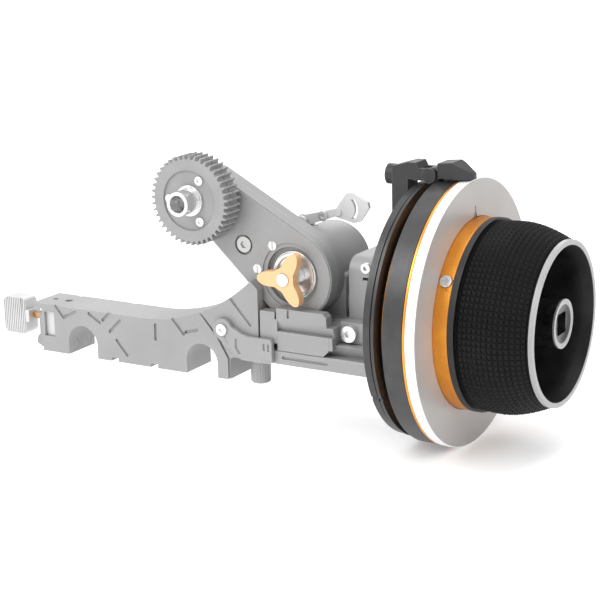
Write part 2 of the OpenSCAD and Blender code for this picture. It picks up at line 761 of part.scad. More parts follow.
module index_arm() {
  y0 = index_y - index_w / 2;
  y1 = index_y + index_w / 2;
  tube_z = index_pin_z - 1.4;
  color("dimgray") difference() {
    union() {
      translate([index_post_x, y0, house_z1 - 3.9]) cube([4, index_w, tube_z - house_z1 + 4]);
      translate([index_post_x, y0, house_z1 + 0.05]) cube([6.6, index_w, tube_z - house_z1]);
      pin_x(index_y, tube_z, index_post_x - 3.4, index_post_x + 5, 4);
      slab(y0, y1) polygon([
        [index_post_x, tube_z - 2], [index_post_x, tube_z + 3.8],
        [index_pin_x - 9, index_pin_z + 4.4], [index_pin_x - 5.8, index_pin_z + 4.4],
        [index_pin_x - 3.8, index_pin_z + 0.8],
        [index_pin_x - 3.4, index_pin_z - 2], [index_post_x + 4, index_pin_z - 2]
      ]);
      // Two ears of the hinge
      for (y = [y0, y1 - 2]) slab(y, y + 2)
        capsule([index_pin_x - 6, index_pin_z], index_r - 0.6, [index_pin_x, index_pin_z], index_r - 0.61);
    }
    pin_x(index_y, tube_z, index_post_x - 4, index_post_x - 2, 1.8);
    pin_y([index_pin_x, index_pin_z], y0 - 1, y1 + 1, 1.2);
  }
}

module index_pin() {
  color("gray") {
    pin_y([index_pin_x, index_pin_z], index_y - index_w / 2 - 0.1, index_y + index_w / 2, 1.2);
    pin_y([index_pin_x, index_pin_z], index_y - index_w / 2 - 0.9, index_y - index_w / 2 - 0.05, index_r);
  }
}

module index_pointer() {
  half = index_w / 2 - 2.2;
  color("black") difference() {
    union() {
      slab(index_y - half, index_y + half) {
        translate([index_pin_x, index_pin_z]) circle(index_r - 0.3);
        translate([index_pin_x - 1, index_pin_z - 1]) square([5, 3]);
      }
      slab(index_y - index_w / 2, index_y + index_w / 2) polygon([
        [index_pin_x + 3.2, index_pin_z - 1], [index_pin_x + 3.2, index_pin_z + 4.8],
        [index_pin_x + 9.4, index_pin_z + 5.4], [index_tip_x, index_pin_z + 1.2],
        [index_tip_x, index_pin_z - 1]
      ]);
    }
    // Tip drawn in on both sides
    for (s = [-1, 1]) translate([index_tip_x + 0.2, index_y + s * 1.3, index_pin_z - 3])
      rotate(s > 0 ? 90 + 62 : -90 - 62) mirror([0, s > 0 ? 1 : 0, 0]) cube([16, 12, 12]);
    pin_y([index_pin_x, index_pin_z], 0, 40, 1.2 + fit);
  }
}

// ---- Cam lever on the barrel ----

cam_p = [pivot_x - 5.1, pivot_z + barrel_r + 2.5];

module lever_post() {
  z0 = pivot_z + barrel_r - 3;
  color("gray") difference() {
    union() {
      translate([pivot_x - 9.15, wheel_y - 6, z0]) cube([8, 8, 2.6]);
      for (y = [wheel_y - 6, wheel_y]) slab(y, y + 2) {
        translate([cam_p[0] - 2.2, z0]) square([4.4, cam_p[1] - z0]);
        translate(cam_p) circle(2.2);
      }
      pin_y(cam_p, wheel_y - 6.2, wheel_y + 2.2, 1.1);
    }
    slab(wheel_y - 3.9, wheel_y - 0.1) translate(cam_p) circle(3.1);
    slab(wheel_y - 3.9, wheel_y - 0.1) translate([cam_p[0] - 4.4, cam_p[1] - 3]) square([12, 12]);
  }
  color("gray") pin_y(cam_p, wheel_y - 4, wheel_y, 1.1);
}

module cam_lever() {
  color("white") difference() {
    union() {
      slab(wheel_y - 3.6, wheel_y - 0.4) {
        translate(cam_p) circle(2.7);
        capsule(cam_p, 2.2, cam_p + [15.6, 4.8], 1.5);
      }
      // Thumb flag at the end of the lever
      slab(wheel_y - 2.9, wheel_y - 1.1) polygon([
        cam_p + [13.4, 4.6], cam_p + [19, 12.4], cam_p + [21.4, 13], cam_p + [28.6, 9.6],
        cam_p + [29.2, 7.4], cam_p + [25.2, 1.6], cam_p + [22.4, 0.8], cam_p + [14.6, 2.6]
      ]);
    }
    pin_y(cam_p, 0, 40, 1.1 + fit);
    // Crescent slot in the flag
    slab(wheel_y - 4, wheel_y) intersection() {
      difference() {
        translate(cam_p + [17.6, 6.2]) circle(6.6);
        translate(cam_p + [17.6, 6.2]) circle(5.2);
      }
      translate(cam_p + [19, 2.6]) square([8, 7.6]);
    }
    pin_y(cam_p + [9.4, 2.9], wheel_y - 4, wheel_y - 1.2, 1.25);
  }
}

module cam_lever_screw() {
  color("gainsboro") cap_screw(cam_p + [9.4, 2.9], wheel_y - 3.7, 2, 1.1, 1.2, 2.4);
}

// ---- Swing arm ----

module arm_outline() {
  capsule([pivot_x, pivot_z], arm_r, arm_point(arm_len, 0), arm_end_r);
}

module train_room(extra) {
  for (i = [0 : 3]) translate(train_point(i)) circle(train_tip[i] + extra);
}

module cover_boss_outline(r) {
  translate(arm_point(cover_screw[0], cover_screw[1])) circle(r);
}

module arm_front_shell() {
  pivot = [pivot_x, pivot_z];
  screw = arm_point(cover_screw[0], cover_screw[1]);
  color("silver") difference() {
    union() {
      slab(arm_front + 0.5, arm_split) arm_outline();
      slab(arm_front, arm_front + 0.6)
        capsule(pivot, arm_r - 0.5, arm_point(arm_len, 0), arm_end_r - 0.5);
    }
    slab(cavity_y, arm_split + 1) train_room(0.4);
    // Stepped recess round the arm knob
    pin_y(pivot, arm_front - 1, recess_floor, recess_r);
    pin_y(pivot, arm_front - 1, arm_front + 0.6, recess_r + 1.8);
    pin_y(pivot, recess_floor - 1, arm_split + 1, bolt_r + 0.15);
    pin_y(screw, arm_front - 1, arm_front + 1.5, 4.1);
    pin_y(screw, arm_front, arm_split + 1, 1.3);
    for (s = slot_screws) pin_y(arm_point(s[0], s[1]), arm_front - 1, arm_front + 2.7, 1.9);
    pin_y(train_point(3), arm_front - 1, arm_front + 3.6, out_bearing_r);
    pin_y(train_point(3), arm_front, arm_split + 1, out_shaft_r + 0.6);
    for (i = [1, 2]) pin_y(train_point(i), cavity_y - 1.6, arm_split, 1.5);
  }
}

module arm_back_shell() {
  pivot = [pivot_x, pivot_z];
  screw = arm_point(cover_screw[0], cover_screw[1]);
  color("silver") difference() {
    slab(arm_split + 0.05, arm_back) arm_outline();
    difference() {
      slab(arm_split - 1, cavity_end) train_room(0.4);
      slab(arm_split, cavity_end + 1) cover_boss_outline(1.75);
    }
    pin_y(pivot, cavity_end - 1, arm_back + 1, 6.5 + fit);
    pin_y(train_point(3), cavity_end - 1, arm_back + 1, 4.4);
    pin_y(screw, arm_split - 1, arm_back - 1, 1.25);
    for (i = [1, 2]) pin_y(train_point(i), cavity_end - 1, arm_back + 1, 1.5);
  }
}

module arm_cover_screw() {
  color("gray") cap_screw(arm_point(cover_screw[0], cover_screw[1]), arm_front + 1.45, 3.2, 1.2, 1.2, 6);
}

module arm_slot_screws() {
  color("white") for (s = slot_screws) slot_screw(arm_point(s[0], s[1]), arm_front + 0.15, 1.85, 2.4);
}

module idler_axles() {
  color("gainsboro") for (i = [1, 2]) pin_y(train_point(i), cavity_y - 1.5, arm_back - 0.1, 1.45);
}

module output_bearings() {
  p = train_point(3);
  color("gainsboro") {
    ring_y(p, arm_front + 0.3, arm_front + 3.5, out_bearing_r - 0.02, out_shaft_r + 0.02);
    ring_y(p, cavity_end + 0.1, arm_back - 0.1, 4.35, out_shaft_r + 0.02);
  }
}

module knob_washer() {
  p = [pivot_x, pivot_z];
  color("whitesmoke") {
    ring_y(p, recess_floor - 0.9, recess_floor - 0.05, recess_r - 2, bolt_r + 0.2);
    ring_y(p, recess_floor - 1.7, recess_floor - 0.8, recess_r - 2.6, recess_r - 4);
  }
}

module train_gear(i, phase, bore) {
  p = train_point(i);
  color("gold") difference() {
    gear_y(p, train_y, train_y + train_w, train[i], train_m, arm_angle + phase);
    pin_y(p, train_y - 1, train_y + train_w + 1, bore);
  }
}

module input_gear() { train_gear(0, -phase_in, shaft_r + fit); }
module idler_gear_a() { train_gear(1, -phase_a, 1.5); }
module idler_gear_b() { train_gear(2, -phase_b, 1.5); }

module output_shaft() {
  p = train_point(3);
  color("silver") {
    pin_y(p, drive_front - 0.5, arm_back - 0.1, out_shaft_r);
    gear_y(p, train_y, train_y + train_w, train[3], train_m, arm_angle - phase_out);
  }
}

function gear_screw_point(i) =
  train_point(3) + 9.4 * [cos(60 + 120 * i), sin(60 + 120 * i)];

module drive_gear() {
  p = train_point(3);
  mid = drive_back - drive_w / 2;
  color("gray") difference() {
    gear_y(p, drive_front, drive_back, drive_teeth, drive_module, 4);
    pin_y(p, drive_front - 1, drive_back + 1, out_shaft_r + 0.02);
    // Groove that parts the rim into two rows of teeth
    slab(mid - 0.25, mid + 0.25) difference() {
      translate(p) circle(drive_r + 4);
      translate(p) circle(drive_r - 1.4);
    }
    pin_y(p, drive_front - 1, drive_front + 0.8, 12);
    for (i = [0 : 2]) pin_y(gear_screw_point(i), drive_front, drive_back - 2, 1.1);
    for (i = [0 : 5])
      pin_y(p + 11 * [cos(i * 60 + 30), sin(i * 60 + 30)], drive_back - 1.2, drive_back + 1, 2.4);
  }
}

module gear_screws() {
  color("gainsboro") for (i = [0 : 2]) cap_screw(gear_screw_point(i), drive_front + 0.75, 1.8, 0.7, 1.05, 5);
}

module gear_stub() {
  p = train_point(3);
  color("silver") difference() {
    union() {
      pin_y(p, drive_front - stub_len, drive_front + 0.75, 4.9);
      pin_y(p, drive_front - 0.4, drive_front + 0.75, 6.2);
    }
    pin_y(p, drive_front - stub_len - 1, drive_front - 2, 3.4);
    pin_y(p, drive_front - 3, drive_front + 1, out_shaft_r + 0.02);
  }
}

// ---- Arm knob ----

knob_y = recess_floor - 5.8;
knob_t = 4;

module tri_knob() {
  p = [pivot_x, pivot_z];
  color("navajowhite") difference() {
    slab(knob_y - knob_t, knob_y) {
      translate(p) polygon([for (a = [0 : 4 : 356])
        let (r = 4.7 + 7.1 * pow((1 + cos(3 * a)) / 2, 2.4)) r * [cos(a + 62), sin(a + 62)]]);
    }
    pin_y(p, knob_y - knob_t - 1, knob_y + 1, 2.6);
  }
}

module tri_knob_bolt() {
  p = [pivot_x, pivot_z];
  color("whitesmoke") {
    pin_y(p, knob_y - knob_t - 0.4, recess_floor - 1.2, 2.58);
    pin_y(p, knob_y + 0.1, recess_floor - 1, 4.6);
    pin_y(p, recess_floor - 1.3, barrel_end + cap_t + 0.6, bolt_r);
  }
}

// ---- Gearbox shafts ----

module cross_shaft() {
  p = [pivot_x, wheel_z];
  color("silver") {
    pin_y(p, barrel_y + 1.8, barrel_end + 1.7, cross_r);
    gear_y(p, spur_y, spur_y + spur_w, spur_teeth, spur_m, 90);
  }
}

module drive_shaft() {
  p = [pivot_x, pivot_z];
  color("silver") difference() {
    union() {
      pin_y(p, cavity_y + 0.3, barrel_end - 0.3, shaft_r);
      gear_y(p, spur_y, spur_y + spur_w, spur_teeth, spur_m, -90 + 180 / spur_teeth);
    }
    pin_y(p, -1, barrel_end + 1, bolt_r + 0.1);
  }
}

// Bevel gear along +Z with its large end at the origin
module bevel(phase, bore) {
  difference() {
    union() {
      linear_extrude(bevel_w, scale = (bevel_r - bevel_w) / bevel_r)
        gear_outline(spur_teeth, bevel_m, phase);
      translate([0, 0, -1.4]) cylinder(h = 1.41, r = bevel_r - 1.6);
    }
    translate([0, 0, -3]) cylinder(h = 10, r = bore);
  }
}

module bevel_gear() {
  color("goldenrod") translate([pivot_x, wheel_y - bevel_r, wheel_z])
    rotate([-90, 0, 0]) bevel(180 / spur_teeth, cross_r);
}

module bevel_pinion() {
  color("goldenrod") translate([pivot_x + bevel_r, wheel_y, wheel_z])
    rotate([0, -90, 0]) bevel(-90, 1.8);
}

// ---- Handwheel ----

module spindle() {
  color("silver") {
    pin_x(wheel_y, wheel_z, pivot_x + bevel_r - bevel_w - 0.2, pivot_x + bevel_r + 2, 1.8);
    pin_x(wheel_y, wheel_z, pivot_x + bevel_r + 1.45, spindle_end, spindle_r);
  }
}

module wheel_core() {
  color("saddlebrown") turned() {
    translate([spindle_r, core_x]) square([disc_r - 6 - spindle_r, core_w]);
    translate([spindle_r, core_x + 0.1]) square([8, flange_x - core_x - 0.2]);
  }
}

module wheel_drum() {
  color("dimgray") difference() {
    turned() {
      translate([12.1, drum_x + 3.4]) square([disc_r - 0.4 - 12.1, drum_w - 3.4]);
      translate([disc_r - 5, drum_x]) square([4.6, drum_w]);
    }
    for (p = magnet_points()) pin_x(p[0], p[1], drum_x + drum_w - 2.2, drum_x + drum_w + 1, 2.5);
  }
}

function magnet_points() = [for (i = [0 : 5])
  [wheel_y + (disc_r - 10) * cos(i * 60 + 30), wheel_z + (disc_r - 10) * sin(i * 60 + 30)]];

module disc_magnets() {
  color("gainsboro") for (p = magnet_points())
    pin_x(p[0], p[1], drum_x + drum_w - 2.1, drum_x + drum_w - 0.1, 2.45);
}

module wheel_hub() {
  color("orange") difference() {
    turned() {
      translate([spindle_r, flange_x]) square([disc_r - 0.1 - spindle_r, flange_t]);
      translate([hub_r - 4, flange_x]) square([4, hub_end - flange_x]);
      translate([spindle_r, flange_x]) square([7, hub_end - flange_x]);
    }
    set_screw_place() translate([0, 0, hub_r - 8]) cylinder(h = 10, r = 1.3);
    set_screw_place() translate([0, 0, hub_r - 0.6]) cylinder(h = 3, r = 2.4);
  }
}

// Frame with +Z out of the hub at the set screw
module set_screw_place() {
  translate([(face_x + hub_end) / 2 + 0.1, wheel_y, wheel_z]) rotate([58, 0, 0]) children();
}

module hub_set_screw() {
  color("gainsboro") set_screw_place() difference() {
    union() {
      translate([0, 0, hub_r - 0.55]) cylinder(h = 1.3, r = 2.3);
      translate([0, 0, hub_r - 6]) cylinder(h = 6, r = 1.25);
    }
    translate([0, 0, hub_r - 0.2]) cylinder(h = 3, r = 1.2, $fn = 6);
  }
}

module marking_disc() {
  color("whitesmoke") difference() {
    turned() translate([hub_r + 0.1, disc_x]) square([disc_r - hub_r - 0.1, disc_w]);
    // Index mark
    translate([face_x - 0.3, wheel_y - 0.4, wheel_z + hub_r + 0.4]) cube([1, 0.8, 4]);
  }
}

// Barrel curve of the grip: radius at a share t of its length
function grip_curve(t) =
  t < 0.35 ? grip_root_r + (grip_r - grip_root_r) * sin(t / 0.35 * 90)
  : grip_r - (grip_r - grip_tip_r) * pow((t - 0.35) / 0.65, 1.7);

module grip_profile(inset, t0, t1) {
  steps = 12;
  polygon(concat(
    [for (i = [0 : steps]) let (t = t0 + (t1 - t0) * i / steps) [grip_curve(t) - inset, grip_x + t * grip_len]],
    [[boss_r + 2, grip_x + t1 * grip_len], [boss_r + 2, grip_x + t0 * grip_len]]
  ));
}

module knob_core() {
  color("darkslategray") turned() difference() {
    union() {
      grip_profile(grip_t + 0.05, 0, 1);
      translate([spindle_r, collar_x]) square([hub_r + 0.2 - spindle_r, collar_w]);
      translate([spindle_r, collar_x]) square([20, cup_floor - collar_x]);
      translate([cup_r, grip_end + 0.05]) square([grip_tip_r - cup_r, rim_w]);
      translate([cup_r, grip_end - 2]) square([2.6, 3]);
    }
    // Cup, flared at its mouth
    polygon([
      [boss_r - 1, cup_floor], [cup_r, cup_floor], [cup_r + 0.6, grip_end - 4],
      [mouth_r, grip_end + rim_w + 1], [boss_r - 1, grip_end + rim_w + 1]
    ]);
  }
}

module rubber_grip() {
  color("black") turned() difference() {
    grip_profile(0, 0, 1);
    grip_profile(grip_t, -0.01, 1.01);
  }
}

// Sleeve on the cup floor: room for the nut, a web, and the square socket
module crank_socket() {
  nut_room = cup_floor + 4.4;
  color("gray") difference() {
    wheel_ring(cup_floor, boss_end, boss_r, 0);
    wheel_ring(cup_floor - 1, nut_room, nut_r + gap, 0);
    bar_x(nut_room + 3.6, boss_end + 1) intersection() {
      translate([wheel_y, wheel_z]) square(socket_af, center = true);
      translate([wheel_y, wheel_z]) circle(socket_af * 0.64);
    }
    // Dished mouth
    turned() polygon([
      [0, boss_end + 1], [0, boss_end - 1], [socket_af * 0.62, boss_end - 0.9],
      [boss_r - 1.4, boss_end], [boss_r - 1.4, boss_end + 1]
    ]);
  }
}

module spindle_nut() {
  color("gainsboro") difference() {
    translate([cup_floor + 0.1, wheel_y, wheel_z]) rotate([0, 90, 0]) cylinder(h = 3.6, r = nut_r, $fn = 6);
    pin_x(wheel_y, wheel_z, cup_floor - 1, cup_floor + 5, spindle_r);
  }
}

module stop_ring(x, w, r) {
  difference() {
    wheel_ring(x, x + w, r, journal_r + fit);
    for (a = [0 : 120 : 240]) translate([x - 1, wheel_y, wheel_z]) rotate([a, 0, 0])
      translate([0, 0, r + 0.3]) rotate([0, 90, 0]) cylinder(h = w + 2, r = 0.9, $fn = 24);
  }
}

module stop_ring_a() {
  color("dimgray") stop_ring(ring_a_x, ring_a_w, disc_r - 2.2);
}

module stop_ring_b() {
  color("dimgray") stop_ring(ring_b_x, ring_b_w, disc_r - 1.7);
}

bridge();
clamp_block();
rail();
bridge_screws();
clamp_yoke();
clamp_screw();
clamp_knob();
lock_lever();
release_button();
button_spring();
gearbox_housing();
rear_cap();
rear_cap_screws();
front_jaw();
jaw_screws();
spindle_housing();
housing_screws();
spindle_bearings();
shaft_bushes();
ring_carrier();
ring_retainer();
index_arm();
index_pin();
lever_post();
arm_front_shell();
arm_back_shell();
arm_cover_screw();
arm_slot_screws();
idler_axles();
output_bearings();
knob_washer();
input_gear();
idler_gear_a();
idler_gear_b();
output_shaft();
drive_gear();
gear_screws();
gear_stub();
tri_knob();
tri_knob_bolt();
cam_lever();
cam_lever_screw();
cross_shaft();
bevel_gear();
drive_shaft();
spindle();
bevel_pinion();
wheel_core();
wheel_drum();
disc_magnets();
wheel_hub();
marking_disc();
hub_set_screw();
knob_core();
rubber_grip();
crank_socket();
spindle_nut();
stop_ring_a();
stop_ring_b();
index_pointer();
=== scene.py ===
import json
import math

import bmesh
import bpy
from mathutils import Matrix, Vector


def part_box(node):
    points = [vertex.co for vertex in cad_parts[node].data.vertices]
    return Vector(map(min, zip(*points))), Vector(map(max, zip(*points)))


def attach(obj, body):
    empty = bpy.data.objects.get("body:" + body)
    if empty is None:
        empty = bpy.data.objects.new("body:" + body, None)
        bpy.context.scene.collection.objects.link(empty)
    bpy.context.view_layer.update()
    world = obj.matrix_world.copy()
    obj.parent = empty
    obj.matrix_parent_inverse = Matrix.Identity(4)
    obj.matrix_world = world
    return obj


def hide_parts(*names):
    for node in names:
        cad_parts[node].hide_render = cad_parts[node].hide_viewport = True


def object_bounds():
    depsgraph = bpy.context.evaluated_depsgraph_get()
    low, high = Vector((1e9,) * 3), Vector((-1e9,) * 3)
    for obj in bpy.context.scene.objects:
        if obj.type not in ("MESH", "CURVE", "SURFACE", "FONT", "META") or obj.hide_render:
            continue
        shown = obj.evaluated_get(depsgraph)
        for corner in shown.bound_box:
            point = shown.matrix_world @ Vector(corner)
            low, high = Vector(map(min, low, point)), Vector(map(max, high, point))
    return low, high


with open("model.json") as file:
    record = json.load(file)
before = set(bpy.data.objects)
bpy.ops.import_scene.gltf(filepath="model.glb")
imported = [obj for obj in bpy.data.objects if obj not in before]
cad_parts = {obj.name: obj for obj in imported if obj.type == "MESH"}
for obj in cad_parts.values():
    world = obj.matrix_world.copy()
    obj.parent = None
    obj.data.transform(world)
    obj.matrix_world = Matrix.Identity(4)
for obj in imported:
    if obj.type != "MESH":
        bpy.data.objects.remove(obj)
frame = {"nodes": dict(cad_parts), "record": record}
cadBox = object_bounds()
nodes = frame["nodes"]
scene = bpy.context.scene
print("frame loaded:", len(nodes), "CAD nodes")

# camera, placed to match the photograph's angle and framing
cameraSet = {
    "place": (0.37237, -0.56014, 0.19982),
    "azimuth": 30.584,
    "elevation": 14.764,
    "roll": -1.220,
    "lens": 102.88,
    "sensor": 36,      # both in mm
    "nearest": 0.01,
}


def makeCamera():
    turn = math.radians(cameraSet["azimuth"])
    rise = math.radians(cameraSet["elevation"])
    roll = math.radians(cameraSet["roll"])
    level = math.cos(rise)
    back = Vector((math.sin(turn) * level, -math.cos(turn) * level, math.sin(rise)))
    right = Vector((math.cos(turn), math.sin(turn), 0))
    up = back.cross(right)
    side = right * math.cos(roll) + up * math.sin(roll)
    top = up * math.cos(roll) - right * math.sin(roll)
    data = bpy.data.cameras.new("photoCamera")
    data.lens = cameraSet["lens"]
    data.sensor_width = cameraSet["sensor"]
    data.clip_start = cameraSet["nearest"]
    camera = bpy.data.objects.new("photoCamera", data)
    camera.matrix_world = Matrix((
        (side.x, top.x, back.x, cameraSet["place"][0]),
        (side.y, top.y, back.y, cameraSet["place"][1]),
        (side.z, top.z, back.z, cameraSet["place"][2]),
        (0, 0, 0, 1),
    ))
    scene.collection.objects.link(camera)
    scene.camera = camera


makeCamera()
print("camera placed")

# where the handwheel turns, read back from the frame
gripLow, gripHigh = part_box("rubber_grip")
wheelAxis = Vector((0, (gripLow.y + gripHigh.y) / 2, (gripLow.z + gripHigh.z) / 2))


# one material at a time: a small bench of node helpers
class Bench:
    def __init__(self, name):
        self.mat = bpy.data.materials.new(name)
        self.mat.use_nodes = True
        self.tree = self.mat.node_tree
        self.tree.nodes.clear()
        self.out = self.add("ShaderNodeOutputMaterial")
        self.shader = self.add("ShaderNodeBsdfPrincipled")
        self.join(self.shader.outputs[0], self.out.inputs["Surface"])
        self.coords = self.add("ShaderNodeTexCoord").outputs["Object"]

    def add(self, kind, **settings):
        node = self.tree.nodes.new(kind)
        for key, value in settings.items():
            setattr(node, key, value)
        return node

    def join(self, a, b):
        self.tree.links.new(a, b)

    def plug(self, socket, value):
        if hasattr(value, "is_linked"):
            self.join(value, socket)
        else:
            socket.default_value = value

    def math(self, how, a, b=0.0, c=0.0):
        node = self.add("ShaderNodeMath", operation=how)
        for socket, value in zip(node.inputs, (a, b, c)):
            self.plug(socket, value)
        return node.outputs[0]

    def noise(self, where, scale, detail=2.0, rough=0.5):
        node = self.add("ShaderNodeTexNoise")
        self.join(where, node.inputs["Vector"])
        node.inputs["Scale"].default_value = scale
        node.inputs["Detail"].default_value = detail
        node.inputs["Roughness"].default_value = rough
        return node.outputs[0]

    def spread(self, value, low, high, fromLow=0.3, fromHigh=0.7):
        node = self.add("ShaderNodeMapRange")
        for key, what in (("Value", value), ("From Min", fromLow), ("From Max", fromHigh),
                          ("To Min", low), ("To Max", high)):
            self.plug(node.inputs[key], what)
        return node.outputs[0]

    def tint(self, factor, first, second, how="MIX"):
        node = self.add("ShaderNodeMix", data_type="RGBA", blend_type=how)
        self.plug(node.inputs[0], factor)
        self.plug(node.inputs[6], first)
        self.plug(node.inputs[7], second)
        return node.outputs[2]

    def parts(self):
        node = self.add("ShaderNodeSeparateXYZ")
        self.join(self.coords, node.inputs[0])
        return node.outputs

    def bump(self, height, strength, distance):
        node = self.add("ShaderNodeBump")
        node.inputs["Strength"].default_value = strength
        node.inputs["Distance"].default_value = distance
        self.join(height, node.inputs["Height"])
        self.join(node.outputs[0], self.shader.inputs["Normal"])

    # distance from the handwheel's axis
    def wheelRadius(self):
        x, y, z = self.parts()
        dy = self.math("SUBTRACT", y, wheelAxis.y)
        dz = self.math("SUBTRACT", z, wheelAxis.z)
        square = self.math("ADD", self.math("MULTIPLY", dy, dy), self.math("MULTIPLY", dz, dz))
        return self.math("SQRT", square)


def rgb(r, g, b):
    return (r, g, b, 1.0)


# bead-blasted and anodised aluminium: fine pits, faint clouding, rubbed edges
blastSet = {
    "pitScale": 5200, "pitDepth": 0.00003, "pitBump": 0.22, "cloudScale": 45,
    "edgeWidth": 0.0004, "edgeFrom": 0.86, "edgeTo": 0.985, "edgeShow": 0.55,
    "roughLow": 0.42, "roughHigh": 0.56,
}


def blasted(name, colour, metal, rubbed, grime=0.9):
    m = Bench(name)
    pits = m.noise(m.coords, blastSet["pitScale"], 3, 0.6)
    cloud = m.noise(m.coords, blastSet["cloudScale"], 4, 0.55)
    base = m.tint(m.spread(cloud, 0, 1), rgb(*[c * grime for c in colour]), rgb(*colour))
    soft = m.add("ShaderNodeBevel", samples=4)
    soft.inputs["Radius"].default_value = blastSet["edgeWidth"]
    face = m.add("ShaderNodeNewGeometry")
    along = m.add("ShaderNodeVectorMath", operation="DOT_PRODUCT")
    m.join(soft.outputs[0], along.inputs[0])
    m.join(face.outputs["Normal"], along.inputs[1])
    edge = m.spread(along.outputs["Value"], blastSet["edgeShow"], 0, blastSet["edgeFrom"], blastSet["edgeTo"])
    edge = m.math("MULTIPLY", edge, m.spread(cloud, 0.5, 1.0))
    m.join(m.tint(edge, base, rgb(*rubbed)), m.shader.inputs["Base Color"])
    m.shader.inputs["Metallic"].default_value = metal
    rough = m.spread(pits, blastSet["roughLow"], blastSet["roughHigh"])
    m.join(rough, m.shader.inputs["Roughness"])
    m.bump(pits, blastSet["pitBump"], blastSet["pitDepth"])
    return m.mat


# turned aluminium on the handwheel: rings left by the tool round the axis
turnSet = {"ringPitch": 0.00022, "ringDepth": 0.000012, "ringBump": 0.35, "mottle": 160}


def turned(name, colour, shade, metal, roughLow, roughHigh, depth=1.0):
    m = Bench(name)
    x, y, z = m.parts()
    radius = m.wheelRadius()
    track = m.add("ShaderNodeCombineXYZ")
    m.join(m.math("DIVIDE", radius, turnSet["ringPitch"]), track.inputs[0])
    m.join(m.math("DIVIDE", x, turnSet["ringPitch"]), track.inputs[1])
    rings = m.noise(track.outputs[0], 1.0, 2, 0.5)
    mottle = m.noise(m.coords, turnSet["mottle"], 3, 0.5)
    base = m.tint(m.spread(mottle, 0, 1), rgb(*shade), rgb(*colour))
    m.join(base, m.shader.inputs["Base Color"])
    m.shader.inputs["Metallic"].default_value = metal
    m.join(m.spread(rings, roughLow, roughHigh), m.shader.inputs["Roughness"])
    m.bump(rings, turnSet["ringBump"] * depth, turnSet["ringDepth"])
    return m.mat


# polished steel of the fasteners: fine lapping marks and faint smears
steelSet = {"lapScale": 2600, "smearScale": 220, "lapDepth": 0.000008, "lapBump": 0.2}


def polished(name, colour, shade, metal, roughLow, roughHigh):
    m = Bench(name)
    lap = m.noise(m.coords, steelSet["lapScale"], 3, 0.6)
    smear = m.noise(m.coords, steelSet["smearScale"], 3, 0.5)
    base = m.tint(m.spread(smear, 0, 1), rgb(*shade), rgb(*colour))
    m.join(base, m.shader.inputs["Base Color"])
    m.shader.inputs["Metallic"].default_value = metal
    m.join(m.spread(smear, roughLow, roughHigh), m.shader.inputs["Roughness"])
    m.bump(lap, steelSet["lapBump"], steelSet["lapDepth"])
    return m.mat


# moulded plastic and rubber: spark-eroded grain from the mould
mouldSet = {
    "grainScale": 3600, "grainDepth": 0.00004, "grainBump": 0.3, "cloudScale": 90,
    "dustScale": 900, "dustFrom": 0.55, "dustTo": 0.8,
}


def moulded(name, colour, shade, roughLow, roughHigh, grain=1.0,
            dustAmount=0.0, dust=(0.2, 0.2, 0.2), shine=0.5):
    m = Bench(name)
    m.shader.inputs["Specular IOR Level"].default_value = shine
    grainNoise = m.noise(m.coords, mouldSet["grainScale"], 2, 0.6)
    cloud = m.noise(m.coords, mouldSet["cloudScale"], 4, 0.55)
    base = m.tint(m.spread(cloud, 0, 1), rgb(*shade), rgb(*colour))
    if dustAmount:
        specks = m.noise(m.coords, mouldSet["dustScale"], 5, 0.7)
        amount = m.spread(specks, 0, dustAmount, mouldSet["dustFrom"], mouldSet["dustTo"])
        base = m.tint(amount, base, rgb(*dust))
    m.join(base, m.shader.inputs["Base Color"])
    m.join(m.spread(grainNoise, roughLow, roughHigh), m.shader.inputs["Roughness"])
    m.bump(grainNoise, mouldSet["grainBump"] * grain, mouldSet["grainDepth"])
    return m.mat


# the moulded knob changes tone along its length: collar, black cup, grey rim
knobSet = {
    "collar": (0.024, 0.024, 0.025), "cup": (0.003, 0.003, 0.0032), "rim": (0.33, 0.33, 0.335),
    "collarEnd": gripLow.x - 0.0001, "rimStart": gripHigh.x - 0.0002, "rimRadius": 0.0296,
    "dust": (0.09, 0.09, 0.09), "dustAmount": 0.12, "roughLow": 0.36, "roughHigh": 0.52,
    "rimPolish": -0.1, "shine": 0.3,
}


def knobBlack():
    m = Bench("knobMoulded")
    x, y, z = m.parts()
    grain = m.noise(m.coords, mouldSet["grainScale"], 2, 0.6)
    cloud = m.noise(m.coords, 120, 3, 0.5)
    isCollar = m.math("LESS_THAN", x, knobSet["collarEnd"])
    isRim = m.math("MULTIPLY", m.math("GREATER_THAN", x, knobSet["rimStart"]),
                   m.math("GREATER_THAN", m.wheelRadius(), knobSet["rimRadius"]))
    base = m.tint(isCollar, rgb(*knobSet["cup"]), rgb(*knobSet["collar"]))
    base = m.tint(isRim, base, rgb(*knobSet["rim"]))
    base = m.tint(m.spread(cloud, 0, knobSet["dustAmount"]), base, rgb(*knobSet["dust"]))
    m.join(base, m.shader.inputs["Base Color"])
    rough = m.spread(grain, knobSet["roughLow"], knobSet["roughHigh"])
    rough = m.math("ADD", rough, m.math("MULTIPLY", isRim, knobSet["rimPolish"]))
    m.join(rough, m.shader.inputs["Roughness"])
    m.shader.inputs["Specular IOR Level"].default_value = knobSet["shine"]
    m.bump(grain, 0.2, mouldSet["grainDepth"])
    return m.mat


# blackened crank socket: only the lip of its mouth is rubbed bright
socketSet = {
    "dark": (0.006, 0.006, 0.0065), "lip": (0.30, 0.30, 0.31), "lipRadius": 0.0074,
    "lipDepth": 0.0007, "smear": (0.2, 0.2, 0.2), "smearAmount": 0.10, "smearScale": 260,
    "metal": 0.3, "roughLow": 0.25, "roughHigh": 0.4,
}


